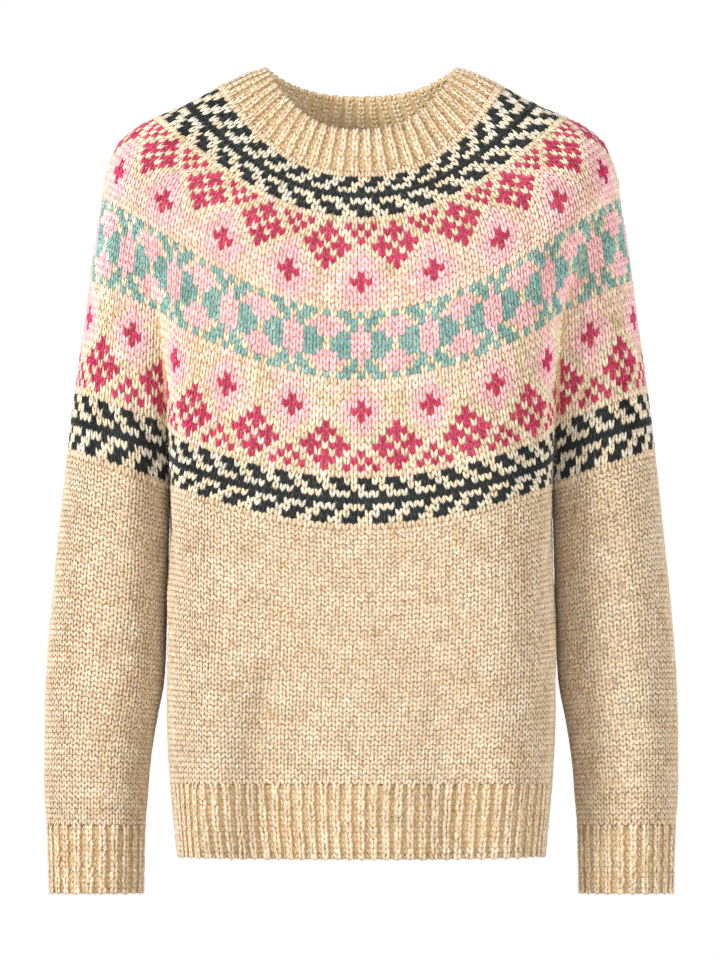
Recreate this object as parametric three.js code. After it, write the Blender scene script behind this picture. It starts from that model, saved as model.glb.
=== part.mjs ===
// A fair isle jumper: a round yoke knitted in one piece, two plain body panels, two sleeves,
// and ribbed bands at the neck, hem and cuffs, all filled out as if something wore it.
// Sizes are in millimetres. +X is the right of the picture, -Y is the front and +Z is up.
// The origin is the middle of the neck, level with the shoulders where the neckband is sewn on.

import * as THREE from "three";

// Cloth
const KNIT_WALL = 3.5;
const RIB_HEIGHT = 2;
const RIB_DIP_SHARE = 0.4;
const SEAM_GAP = 0.3;

// Ribs in each band
const NECK_RIBS = 56;
const HEM_RIBS = 46;
const CUFF_RIBS = 24;
const POINTS_A_RIB = 3;

// Heights
const PANEL_BOTTOM_Z = -558;
const HEM_Z = -618;
const HEM_CORNER_LIFT = 2;
const CUFF_TOP_Z = -591;
const CUFF_BOTTOM_Z = -646;

// Points round and down each piece
const YOKE_FRONT_COLUMNS = 12;
const YOKE_ARM_COLUMNS = 9;
const UNDERARM_COLUMNS = 2;
const FINE_STEPS = 240;
const YOKE_ROWS = [0, 4.5, 9, 12, 15, 17, 19, 22, 27, 32, 37, 41, 45, 49, 52, 54];
const NECK_ROWS = [-7, -3.5, 0];
const YOKE_COLUMNS = 4 * (YOKE_FRONT_COLUMNS + YOKE_ARM_COLUMNS);
const MM_A_ROW = 5;
const PANEL_LEVELS = [0.16, 0.33, 0.5, 0.66, 0.83, 1];
const SLEEVE_LEVELS = [0.08, 0.18, 0.3, 0.42, 0.52, 0.6, 0.7, 0.8, 0.9, 1];

// The neckband and yoke are rings that lie over the shoulders. row counts knitted rows from the
// neckband seam. A ring is sideX wide each way at height sideZ. Its front and back reach frontY and
// backY at heights frontZ and backZ. bow and swell say how it rises towards the side, and step is
// its extra rise inside the armhole fold. torsoX with squareness, and armX by armY, are the two
// rounded outlines, body and arm, that it wraps, and foldX is where the fold between them lies.
const RINGS = [
  { row: -7, sideX: 76, sideZ: 14, frontY: 70, frontZ: -36, backY: 66, backZ: -8,
    bow: 2.6, swell: 0, step: 0, torsoX: 76, squareness: 2, armX: 30, armY: 0, web: 0, foldX: 50 },
  { row: -3.5, sideX: 92, sideZ: 9, frontY: 79, frontZ: -53.5, backY: 71.5, backZ: -22,
    bow: 2.6, swell: 0, step: 0, torsoX: 92, squareness: 2, armX: 36, armY: 5, web: 0, foldX: 61 },
  { row: 0, sideX: 109, sideZ: 1, frontY: 85, frontZ: -70, backY: 77, backZ: -37,
    bow: 2.5, swell: 0, step: 0, torsoX: 109, squareness: 2, armX: 42, armY: 12, web: 0, foldX: 72 },
  { row: 4.5, sideX: 138, sideZ: -15, frontY: 92, frontZ: -89, backY: 84, backZ: -60,
    bow: 2.15, swell: 0.05, step: 0, torsoX: 138, squareness: 2, armX: 48, armY: 25, web: 0, foldX: 93 },
  { row: 9, sideX: 166, sideZ: -27, frontY: 98, frontZ: -111.5, backY: 89.5, backZ: -85,
    bow: 2, swell: 0.15, step: 0, torsoX: 165, squareness: 2.1, armX: 50, armY: 38, web: 0, foldX: 112 },
  { row: 12, sideX: 182, sideZ: -36, frontY: 101.5, frontZ: -128, backY: 92.5, backZ: -103,
    bow: 2, swell: 0.25, step: 0, torsoX: 181, squareness: 2.1, armX: 50, armY: 46, web: 0, foldX: 122 },
  { row: 15, sideX: 195, sideZ: -48.5, frontY: 104.5, frontZ: -144.5, backY: 95, backZ: -120,
    bow: 2, swell: 0.3, step: 0, torsoX: 194, squareness: 2.2, armX: 50, armY: 52, web: 0, foldX: 130 },
  { row: 19, sideX: 204.5, sideZ: -74, frontY: 108, frontZ: -166.5, backY: 98.5, backZ: -143,
    bow: 2, swell: 0.35, step: 0, torsoX: 202, squareness: 2.3, armX: 50, armY: 57, web: 0, foldX: 139 },
  { row: 22, sideX: 206.5, sideZ: -91, frontY: 109.5, frontZ: -182, backY: 100, backZ: -161,
    bow: 2, swell: 0.4, step: 0, torsoX: 194, squareness: 2.6, armX: 49, armY: 59, web: 0, foldX: 144 },
  { row: 27, sideX: 212, sideZ: -123.5, frontY: 112, frontZ: -209, backY: 102, backZ: -191,
    bow: 2, swell: 0.45, step: 2, torsoX: 176, squareness: 3.1, armX: 48, armY: 59, web: 0, foldX: 148 },
  { row: 32, sideX: 216.5, sideZ: -156, frontY: 113.5, frontZ: -236, backY: 103.5, backZ: -222,
    bow: 2, swell: 0.45, step: 5, torsoX: 164, squareness: 3.6, armX: 47, armY: 58, web: 8, foldX: 151 },
  { row: 38, sideX: 221.5, sideZ: -195, frontY: 114.5, frontZ: -270, backY: 104.5, backZ: -259,
    bow: 2, swell: 0.45, step: 8, torsoX: 158, squareness: 4, armX: 46, armY: 57.5, web: 16, foldX: 152 },
  { row: 45, sideX: 228, sideZ: -240, frontY: 115, frontZ: -309, backY: 105, backZ: -304,
    bow: 2, swell: 0.45, step: 10, torsoX: 155, squareness: 4, armX: 44, armY: 57, web: 20, foldX: 152.5 },
  { row: 50, sideX: 232, sideZ: -271.5, frontY: 115, frontZ: -335, backY: 105, backZ: -333,
    bow: 2, swell: 0.45, step: 8, torsoX: 153.4, squareness: 4, armX: 42.6, armY: 57, web: 21, foldX: 152.5 },
  { row: 54, sideX: 235, sideZ: -297, frontY: 115, frontZ: -356, backY: 105, backZ: -356,
    bow: 2, swell: 0.45, step: 0, torsoX: 152.3, squareness: 4, armX: 41.7, armY: 57, web: 21, foldX: 152.5 },
];
const YOKE_BOTTOM_ROW = 54;
const FOLD_TOP_ROW = 30;
const FOLD_ROWS = { first: 9, last: 32 };
const WEB_X = 153;
const WEB_HALF_WIDTH = 12;
const BLEND_POWER = 7;
const STEP_HALF_WIDTH = 9;

// Outlines of the body below the yoke, one for each height.
const BODY_SECTIONS = [
  { z: -300, sideX: 152.3, frontY: 115, backY: 105 },
  { z: -364, sideX: 152.9, frontY: 115, backY: 105 },
  { z: -428, sideX: 154.2, frontY: 114, backY: 104 },
  { z: -476, sideX: 155, frontY: 113, backY: 103 },
  { z: -508, sideX: 155, frontY: 112, backY: 102 },
  { z: -540, sideX: 153.8, frontY: 110.5, backY: 100.5 },
  { z: -572, sideX: 151.2, frontY: 108, backY: 98.5 },
  { z: -618, sideX: 146.8, frontY: 105, backY: 96 },
];

// Long folds in the front and back. Each is a soft crease with a slope on either side of it, fades
// in from topZ and is deepest at the hem. Widths are those of the slopes towards -X and +X. A depth
// under 0 is a ridge.
const BODY_FOLDS = [
  { side: "front", topX: -112, hemX: -130, widthLeft: 26, widthRight: 50, depth: -14, topZ: -400 },
  { side: "front", topX: -64, hemX: -77, widthLeft: 62, widthRight: 90, depth: 24, topZ: -340 },
  { side: "front", topX: 46, hemX: 81, widthLeft: 58, widthRight: 50, depth: 15, topZ: -400 },
  { side: "back", topX: -70, hemX: -58, widthLeft: 50, widthRight: 66, depth: 10, topZ: -380 },
  { side: "back", topX: 72, hemX: 88, widthLeft: 70, widthRight: 46, depth: 12, topZ: -370 },
];
const FOLD_POWER = 1.5;
const FOLD_SOFTNESS = 0.09;

// Outlines of a sleeve, one for each height: its middle and its half width and half depth.
const SLEEVE_SECTIONS = [
  { z: -290, middleX: 193.6, halfX: 40.9, middleY: 0, halfY: 57 },
  { z: -327, middleX: 195.7, halfX: 42.9, middleY: 0, halfY: 56.5 },
  { z: -364, middleX: 198.1, halfX: 44.3, middleY: 0, halfY: 55.5 },
  { z: -428, middleX: 202.1, halfX: 46.6, middleY: -1, halfY: 52.5 },
  { z: -476, middleX: 204.9, halfX: 47.3, middleY: -4, halfY: 49.5 },
  { z: -508, middleX: 208.3, halfX: 44.8, middleY: -6, halfY: 47 },
  { z: -540, middleX: 210.9, halfX: 42.5, middleY: -9, halfY: 44.5 },
  { z: -572, middleX: 212, halfX: 41, middleY: -11, halfY: 43 },
  { z: -591, middleX: 212, halfX: 39.4, middleY: -12, halfY: 41.8 },
  { z: -646, middleX: 211.8, halfX: 38, middleY: -14, halfY: 40.5 },
];
const SLEEVE_SQUARENESS = 2.1;

// Where the body and the sleeve part, below the bottom of the armhole fold.
const BODY_SQUARENESS = 4;
const SETTLE_STEPS = 4;
const PART_Y = 21;
const BODY_CORNER_X = 151.6;
const SLEEVE_CORNER_X = 154.6;
const CORNER_DROP = 0.3;

// Colours of the yarns, seen from a distance
const OATMEAL = 0xe3cda8;
const PINK_GROUND = 0xefcdb9;
const KNIT_ROUGHNESS = 0.95;

// A column of a table at any place along it, as a smooth curve through its rows.
function valueAt(table, placeName, columnName, place) {
  const last = table.length - 1;
  const down = table[last][placeName] < table[0][placeName] ? -1 : 1;
  let i = 0;
  while (i < last - 1 && down * (place - table[i + 1][placeName]) > 0) i += 1;
  const slope = (k) => {
    const a = table[Math.max(k - 1, 0)];
    const b = table[Math.min(k + 1, last)];
    return (b[columnName] - a[columnName]) / (b[placeName] - a[placeName]);
  };
  const from = table[i];
  const to = table[i + 1];
  const span = to[placeName] - from[placeName];
  const t = THREE.MathUtils.clamp((place - from[placeName]) / span, 0, 1);
  const t2 = t * t;
  const t3 = t2 * t;
  return (
    (2 * t3 - 3 * t2 + 1) * from[columnName] +
    (t3 - 2 * t2 + t) * span * slope(i) +
    (3 * t2 - 2 * t3) * to[columnName] +
    (t3 - t2) * span * slope(i + 1)
  );
}

// Every column of a table at one place.
function sectionAt(table, placeName, place) {
  const section = {};
  for (const name of Object.keys(table[0])) {
    section[name] = valueAt(table, placeName, name, place);
  }
  return section;
}

// The height of an oval at x, from 0 at its ends to 1 in its middle.
function ovalHeight(x, middle, halfWidth, squareness) {
  const share = Math.min(Math.abs(x - middle) / halfWidth, 1);
  return (1 - share ** squareness) ** (1 / squareness);
}

// How far a ring stands from the middle plane at x, at its front or back.
function ringDepth(ring, x, reachY) {
  const torso = reachY * ovalHeight(x, 0, ring.torsoX, ring.squareness);
  const arm = ring.armY * ovalHeight(x, ring.sideX - ring.armX, ring.armX, 2);
  const web = ring.web * ovalHeight(x, WEB_X, WEB_HALF_WIDTH, 2);
  return (torso ** BLEND_POWER + arm ** BLEND_POWER + web ** BLEND_POWER) ** (1 / BLEND_POWER);
}

// The height of a ring at x. endZ is its height in the middle of the front or back.
function ringHeight(ring, x, endZ) {
  const share = Math.min(x / ring.sideX, 1);
  const rise = share ** ring.bow * (1 + ring.swell * (1 - share * share));
  const inFold = THREE.MathUtils.smoothstep(x, ring.foldX - STEP_HALF_WIDTH, ring.foldX + STEP_HALF_WIDTH);
  return endZ + (ring.sideZ - endZ - ring.step) * rise + ring.step * inFold;
}

// The height of the seam between the yoke and what hangs from it.
const BOTTOM_RING = sectionAt(RINGS, "row", YOKE_BOTTOM_ROW);
function yokeSeamHeight(x) {
  return ringHeight(BOTTOM_RING, Math.abs(x), BOTTOM_RING.frontZ);
}

// The distance along a line of points to each of them.
function lengthsAlong(points) {
  const lengths = [0];
  for (let i = 1; i < points.length; i += 1) {
    lengths.push(lengths[i - 1] + points[i].distanceTo(points[i - 1]));
  }
  return lengths;
}

// The points of a line at given distances along it, which are in order.
function pointsAt(points, lengths, distances) {
  let i = 1;
  return distances.map((distance) => {
    while (i < points.length - 1 && lengths[i] < distance) i += 1;
    const share = (distance - lengths[i - 1]) / Math.max(lengths[i] - lengths[i - 1], 1e-9);
    return points[i - 1].clone().lerp(points[i], Math.min(share, 1));
  });
}

// Evenly spaced distances, both ends included.
function evenDistances(from, to, steps) {
  return Array.from({ length: steps + 1 }, (_, k) => from + ((to - from) * k) / steps);
}

// Points spaced evenly along a line of points, its ends included.
function evenly(points, steps) {
  const lengths = lengthsAlong(points);
  return pointsAt(points, lengths, evenDistances(0, lengths[lengths.length - 1], steps));
}

// One quarter of a ring, from x = 0 at the front or back to the side, in columns for the body and
// columns for the arm. They are all one width at the neck, and part at the armhole fold lower down.
function ringQuarter(ring, isFront, columns) {
  const reachY = isFront ? ring.frontY : ring.backY;
  const endZ = isFront ? ring.frontZ : ring.backZ;
  const foldAngle = Math.asin(ring.foldX / ring.sideX);
  const angles = [
    ...evenDistances(0, foldAngle, FINE_STEPS),
    ...evenDistances(foldAngle, Math.PI / 2, FINE_STEPS).slice(1),
  ];
  const points = angles.map((angle) => {
    const x = ring.sideX * Math.sin(angle);
    const y = ringDepth(ring, x, reachY) * (isFront ? -1 : 1);
    return new THREE.Vector3(x, y, ringHeight(ring, x, endZ));
  });
  const lengths = lengthsAlong(points);
  const whole = lengths[lengths.length - 1];
  const bodyShare = YOKE_FRONT_COLUMNS / (YOKE_FRONT_COLUMNS + YOKE_ARM_COLUMNS);
  const inFold = THREE.MathUtils.smoothstep(ring.row, FOLD_ROWS.first, FOLD_ROWS.last);
  const split = THREE.MathUtils.lerp(whole * bodyShare, lengths[FINE_STEPS], inFold);
  const bodyColumns = columns * bodyShare;
  return {
    body: pointsAt(points, lengths, evenDistances(0, split, bodyColumns)),
    arm: pointsAt(points, lengths, evenDistances(split, whole, columns - bodyColumns)),
  };
}

// A closed ring from the middle of the front, by +X, round to just before the start.
function ringPoints(row, columns) {
  const ring = sectionAt(RINGS, "row", row);
  const front = ringQuarter(ring, true, columns / 4);
  const back = ringQuarter(ring, false, columns / 4);
  const half = [
    ...front.body,
    ...front.arm.slice(1),
    ...back.arm.reverse().slice(1),
    ...back.body.reverse().slice(1),
  ];
  const mirrored = half.slice(1, -1).reverse();
  return [...half, ...mirrored.map((p) => new THREE.Vector3(-p.x, p.y, p.z))];
}

// How far a body fold pushes the cloth in at a point.
function foldDepth(side, x, z) {
  let depth = 0;
  for (const fold of BODY_FOLDS) {
    if (fold.side !== side || z > fold.topZ) continue;
    const down = Math.min((fold.topZ - z) / (fold.topZ - HEM_Z), 1);
    const off = x - fold.topX - (fold.hemX - fold.topX) * down;
    const share = off / (off < 0 ? fold.widthLeft : fold.widthRight);
    const near = Math.max(0, 1 - Math.hypot(share, FOLD_SOFTNESS));
    depth += fold.depth * near ** FOLD_POWER * Math.sin((down * Math.PI) / 2);
  }
  return depth;
}

// The place on an outline, from a table of outlines, whose height depends on x.
function sectionPoint(table, shareX, heightAt) {
  let section = table[0];
  let x;
  let z;
  for (let k = 0; k < SETTLE_STEPS; k += 1) {
    x = (section.middleX || 0) + (section.halfX || section.sideX) * shareX;
    z = heightAt(x);
    section = sectionAt(table, "z", z);
  }
  return { section, x, z };
}

function roundedShare(value, squareness) {
  return Math.sign(value) * Math.abs(value) ** (2 / squareness);
}

// A line across the front or the back, from one side seam to the other.
// heightAt gives the height for each x.
function panelLine(side, heightAt, columns) {
  const isFront = side === "front";
  const points = [];
  for (let k = 0; k <= 2 * FINE_STEPS; k += 1) {
    const angle = (Math.PI * k) / (2 * FINE_STEPS);
    const shareX = roundedShare(isFront ? -Math.cos(angle) : Math.cos(angle), BODY_SQUARENESS);
    const shareY = roundedShare(Math.sin(angle), BODY_SQUARENESS);
    const { section, x, z } = sectionPoint(BODY_SECTIONS, shareX, heightAt);
    const reach = (isFront ? section.frontY : section.backY) * shareY;
    const y = Math.max(reach - foldDepth(side, x, z), SEAM_GAP / 2);
    points.push(new THREE.Vector3(x, isFront ? -y : y, z));
  }
  if (columns) return evenly(points, columns);
  const isMiddle = (p) => Math.abs(p.y) >= PART_Y;
  const from = points.findIndex(isMiddle);
  const to = points.findLastIndex(isMiddle);
  return [
    ...evenly(points.slice(0, from + 1), UNDERARM_COLUMNS),
    ...evenly(points.slice(from, to + 1), 2 * YOKE_FRONT_COLUMNS).slice(1),
    ...evenly(points.slice(to), UNDERARM_COLUMNS).slice(1),
  ];
}

// The top line of the front or the back. It follows the yoke's lower edge and then the underarm.
function panelTop(side) {
  const isFront = side === "front";
  const half = ringQuarter(BOTTOM_RING, isFront, YOKE_COLUMNS / 4).body;
  const corner = half[half.length - 1];
  corner.x = BODY_CORNER_X;
  corner.z -= CORNER_DROP;
  const seamY = (isFront ? -1 : 1) * (SEAM_GAP / 2);
  const seam = new THREE.Vector3(BODY_SECTIONS[0].sideX, seamY, corner.z);
  half.push(...evenly([corner, seam], UNDERARM_COLUMNS).slice(1));
  for (const point of half) point.z -= SEAM_GAP / 2;
  const mirrored = half.slice(1).map((p) => new THREE.Vector3(-p.x, p.y, p.z));
  return isFront ? [...mirrored.reverse(), ...half] : [...half.reverse(), ...mirrored];
}

// A closed line round a sleeve on the +X side, from the inside of its front by way of its outer
// side. heightAt gives the height for each x.
function sleeveLine(heightAt, columns) {
  const partAngle = Math.asin(PART_Y / SLEEVE_SECTIONS[0].halfY);
  const stretch = (fromAngle, toAngle) => {
    const points = [];
    for (let k = 0; k <= FINE_STEPS; k += 1) {
      const angle = fromAngle + ((toAngle - fromAngle) * k) / FINE_STEPS;
      const shareX = roundedShare(-Math.cos(angle), SLEEVE_SQUARENESS);
      const shareY = roundedShare(-Math.sin(angle), SLEEVE_SQUARENESS);
      const { section, x, z } = sectionPoint(SLEEVE_SECTIONS, shareX, heightAt);
      points.push(new THREE.Vector3(x, section.middleY + section.halfY * shareY, z));
    }
    return points;
  };
  const outside = stretch(partAngle, 2 * Math.PI - partAngle);
  const inside = stretch(2 * Math.PI - partAngle, 2 * Math.PI + partAngle);
  if (columns) return evenly([...outside, ...inside.slice(1)], columns).slice(0, -1);
  return [
    ...evenly(outside, 2 * YOKE_ARM_COLUMNS),
    ...evenly(inside, 2 * UNDERARM_COLUMNS).slice(1, -1),
  ];
}

// The top line of a sleeve. It follows the yoke's lower edge and then the underarm.
function sleeveTop() {
  const front = ringQuarter(BOTTOM_RING, true, YOKE_COLUMNS / 4).arm;
  const back = ringQuarter(BOTTOM_RING, false, YOKE_COLUMNS / 4).arm.reverse();
  for (const corner of [front[0], back[back.length - 1]]) {
    corner.x = SLEEVE_CORNER_X;
    corner.z -= CORNER_DROP;
  }
  const innerX = SLEEVE_SECTIONS[1].middleX - SLEEVE_SECTIONS[1].halfX;
  const inner = new THREE.Vector3(innerX, 0, front[0].z);
  const line = [
    ...front,
    ...back.slice(1),
    ...evenly([back[back.length - 1], inner], UNDERARM_COLUMNS).slice(1),
    ...evenly([inner, front[0]], UNDERARM_COLUMNS).slice(1, -1),
  ];
  return line.map((p) => new THREE.Vector3(p.x, p.y, p.z - SEAM_GAP / 2));
}

// Directions out of a grid of points, whose rows run down and whose columns run anticlockwise
// seen from above. level is 1 for a row whose directions are made level.
function outwards(grid, isTube, levels) {
  const lastRow = grid.length - 1;
  return grid.map((line, r) =>
    line.map((point, c) => {
      const last = line.length - 1;
      const before = isTube ? (c + last) % line.length : Math.max(c - 1, 0);
      const after = isTube ? (c + 1) % line.length : Math.min(c + 1, last);
      const along = line[after].clone().sub(line[before]);
      const down = grid[Math.min(r + 1, lastRow)][c].clone().sub(grid[Math.max(r - 1, 0)][c]);
      const out = down.cross(along).normalize();
      out.z *= 1 - levels[r];
      if (!isTube && (c === 0 || c === last)) out.set(Math.sign(point.x), 0, 0);
      return out.normalize();
    }),
  );
}

function moved(grid, directions, distanceAt) {
  return grid.map((line, r) =>
    line.map((point, c) => point.clone().addScaledVector(directions[r][c], distanceAt(c))),
  );
}

// How far out the ribbed surface lies at a column. The tops of the ribs are level with the knit
// beside them, and the narrow dips between them lie in.
function ribSurface(c) {
  return c % POINTS_A_RIB === 0 ? -RIB_HEIGHT : 0;
}

// Ribs are not evenly spaced points: the dip is narrower than the top.
function ribSpacing(line, isTube) {
  return line.map((point, c) => {
    const place = c % POINTS_A_RIB;
    if (place === 0) return point;
    const toDip = place === 1 ? c - 1 : c + 1;
    const dip = isTube ? line[toDip % line.length] : line[Math.min(toDip, line.length - 1)];
    return point.clone().lerp(dip, 1 - 1.5 * RIB_DIP_SHARE);
  });
}

// One closed wall between an outer and an inner grid.
function wallGeometry(outer, inner, isTube) {
  const rows = outer.length;
  const columns = outer[0].length;
  const positions = [];
  for (const grid of [outer, inner]) {
    for (const line of grid) {
      for (const point of line) positions.push(point.x, point.y, point.z);
    }
  }
  const at = (isInner, r, c) => (isInner ? rows * columns : 0) + r * columns + (c % columns);
  const index = [];
  const quad = (a, b, c, d) => index.push(a, b, c, a, c, d);
  const spans = isTube ? columns : columns - 1;
  for (let c = 0; c < spans; c += 1) {
    for (let r = 0; r < rows - 1; r += 1) {
      quad(at(0, r, c), at(0, r + 1, c), at(0, r + 1, c + 1), at(0, r, c + 1));
      quad(at(1, r, c + 1), at(1, r + 1, c + 1), at(1, r + 1, c), at(1, r, c));
    }
    quad(at(0, 0, c), at(0, 0, c + 1), at(1, 0, c + 1), at(1, 0, c));
    quad(at(1, rows - 1, c), at(1, rows - 1, c + 1), at(0, rows - 1, c + 1), at(0, rows - 1, c));
  }
  if (!isTube) {
    for (let r = 0; r < rows - 1; r += 1) {
      quad(at(0, r, 0), at(1, r, 0), at(1, r + 1, 0), at(0, r + 1, 0));
      quad(at(0, r, spans), at(0, r + 1, spans), at(1, r + 1, spans), at(1, r, spans));
    }
  }
  const geometry = new THREE.BufferGeometry();
  geometry.setAttribute("position", new THREE.Float32BufferAttribute(positions, 3));
  geometry.setIndex(index);
  geometry.computeVertexNormals();
  return geometry;
}

function cloth(name, geometry, colour) {
  const material = new THREE.MeshStandardMaterial({
    color: colour,
    roughness: KNIT_ROUGHNESS,
    metalness: 0,
  });
  const mesh = new THREE.Mesh(geometry, material);
  mesh.name = name;
  return mesh;
}

// A plain wall on a grid of points.
function plainWall(grid, directions, isTube) {
  return wallGeometry(grid, moved(grid, directions, () => -KNIT_WALL), isTube);
}

// A wall with ribs on its outside and a plain inside.
function ribbedWall(grid, directions, isTube) {
  const spaced = grid.map((line) => ribSpacing(line, isTube));
  const outer = moved(spaced, directions, ribSurface);
  return wallGeometry(outer, moved(spaced, directions, () => -KNIT_WALL), isTube);
}

// Shares from 0 to 1 turned into heights below a seam.
function heightBelow(seamHeight, bottomZ, share) {
  return (x) => {
    const top = seamHeight(x) - SEAM_GAP / 2;
    return top + (bottomZ + SEAM_GAP / 2 - top) * share;
  };
}

// The neckband and the yoke share one run of rings, so each takes the directions at their seam
// from the rings on both sides of it.
function neckband() {
  const rows = NECK_ROWS.map((row) => (row === 0 ? -SEAM_GAP / 2 / MM_A_ROW : row));
  const grid = [...rows, YOKE_ROWS[1]].map((row) => ringPoints(row, NECK_RIBS * POINTS_A_RIB));
  const directions = outwards(grid, true, grid.map(() => 0));
  grid.pop();
  return cloth("neckband", ribbedWall(grid, directions, true), OATMEAL);
}

function yoke() {
  const rows = YOKE_ROWS.map((row) => (row === 0 ? SEAM_GAP / 2 / MM_A_ROW : row));
  const grid = [NECK_ROWS[1], ...rows].map((row) => ringPoints(row, YOKE_COLUMNS));
  for (const point of grid[grid.length - 1]) point.z += SEAM_GAP / 2;
  const levels = [0, ...rows].map((row) =>
    THREE.MathUtils.smoothstep(row, FOLD_TOP_ROW, YOKE_BOTTOM_ROW),
  );
  const directions = outwards(grid, true, levels).slice(1);
  return cloth("yoke", plainWall(grid.slice(1), directions, true), PINK_GROUND);
}

// A wall below the yoke, whose edges are cut level.
function hangingWall(grid, isTube, wall) {
  const directions = outwards(grid, isTube, grid.map(() => 1));
  return wall(grid, directions, isTube);
}

function bodyPanel(side) {
  const lines = PANEL_LEVELS.map((share) =>
    panelLine(side, heightBelow(yokeSeamHeight, PANEL_BOTTOM_Z, share)),
  );
  return cloth(side, hangingWall([panelTop(side), ...lines], false, plainWall), OATMEAL);
}

function hemRib(side) {
  const topAt = () => PANEL_BOTTOM_Z - SEAM_GAP / 2;
  const bottomAt = (x) => HEM_Z + HEM_CORNER_LIFT * (x / BODY_SECTIONS[0].sideX) ** 4;
  const columns = HEM_RIBS * POINTS_A_RIB;
  const grid = [topAt, bottomAt].map((heightAt) => panelLine(side, heightAt, columns));
  return cloth("hem_rib_" + side, hangingWall(grid, false, ribbedWall), OATMEAL);
}

// Sleeves are made on the +X side and mirrored to the other.
function mirroredTo(sign, grid) {
  if (sign > 0) return grid;
  return grid.map((line) => line.map((p) => new THREE.Vector3(-p.x, p.y, p.z)).reverse());
}

function sleeve(name, sign) {
  const lines = SLEEVE_LEVELS.map((share) =>
    sleeveLine(heightBelow(yokeSeamHeight, CUFF_TOP_Z, share)),
  );
  const grid = mirroredTo(sign, [sleeveTop(), ...lines]);
  return cloth(name, hangingWall(grid, true, plainWall), OATMEAL);
}

function cuff(name, sign) {
  const heights = [CUFF_TOP_Z - SEAM_GAP / 2, CUFF_BOTTOM_Z];
  const grid = heights.map((z) => sleeveLine(() => z, CUFF_RIBS * POINTS_A_RIB));
  return cloth(name, hangingWall(mirroredTo(sign, grid), true, ribbedWall), OATMEAL);
}

const jumper = new THREE.Group();
jumper.add(neckband(), yoke());
for (const side of ["front", "back"]) {
  jumper.add(bodyPanel(side), hemRib(side));
}
jumper.add(sleeve("sleeve_left", 1), sleeve("sleeve_right", -1));
jumper.add(cuff("cuff_left", 1), cuff("cuff_right", -1));

export default jumper;
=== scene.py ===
"""A fair isle jumper with no wearer. Every piece is a thin knitted wall, covered with stitches.

Each stitch has two yarn legs in a V. The legs of a piece are joined into one mesh, and each yarn
is a material of its own. The tables repeat the sizes of the model, in millimetres.
"""

import math
import bpy
import mathutils
import numpy as np
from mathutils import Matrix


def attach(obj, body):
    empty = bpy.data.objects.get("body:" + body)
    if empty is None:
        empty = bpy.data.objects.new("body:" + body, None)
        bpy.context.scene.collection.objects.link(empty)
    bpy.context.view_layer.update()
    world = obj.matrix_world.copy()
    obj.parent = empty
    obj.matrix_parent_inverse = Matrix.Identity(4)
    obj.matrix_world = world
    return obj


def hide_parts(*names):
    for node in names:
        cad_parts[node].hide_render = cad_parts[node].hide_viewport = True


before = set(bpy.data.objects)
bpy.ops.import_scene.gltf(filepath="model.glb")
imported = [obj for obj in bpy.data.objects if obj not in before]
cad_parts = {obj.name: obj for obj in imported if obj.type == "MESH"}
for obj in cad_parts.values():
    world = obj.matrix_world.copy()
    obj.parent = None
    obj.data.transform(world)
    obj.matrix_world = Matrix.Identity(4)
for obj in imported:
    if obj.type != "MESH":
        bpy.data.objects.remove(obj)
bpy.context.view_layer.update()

MM = 0.001
TAU = 2 * math.pi
RNG = np.random.default_rng(57)

# Walls, in millimetres
KNIT_WALL = 3.5
RIB_HEIGHT = 2.0
SEAM_GAP = 0.3
SINK = 0.9
EDGE_SINK = 0.8

# Steps along the fine lines that the surfaces are looked up on, and lines down each surface
RING_POINTS = 500
RING_STEPS = 1200
PANEL_POINTS = 800
PANEL_STEPS = 440
SLEEVE_POINTS = 1200
SLEEVE_STEPS = 300
NECK_LINES = 29
YOKE_LINES = 163
PANEL_LINES = 61
HEM_LINES = 13
SLEEVE_LINES = 71
CUFF_LINES = 11
SETTLE_STEPS = 4

# Spans of each wall, down and across
NECK_WALL_ROWS = 8
RIB_WALL_ROWS = 6
RIB_WALL_STEPS = 6
YOKE_WALL_COLUMNS = 168
PANEL_WALL = (24, 60)
SLEEVE_WALL = (30, 48)

# Heights
PANEL_BOTTOM_Z = -558.0
HEM_Z = -618.0
HEM_CORNER_LIFT = 2.0
HEM_CORNER_POWER = 4
SEAM_Z = -300.0
CUFF_TOP_Z = -591.0
CUFF_BOTTOM_Z = -646.0

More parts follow.
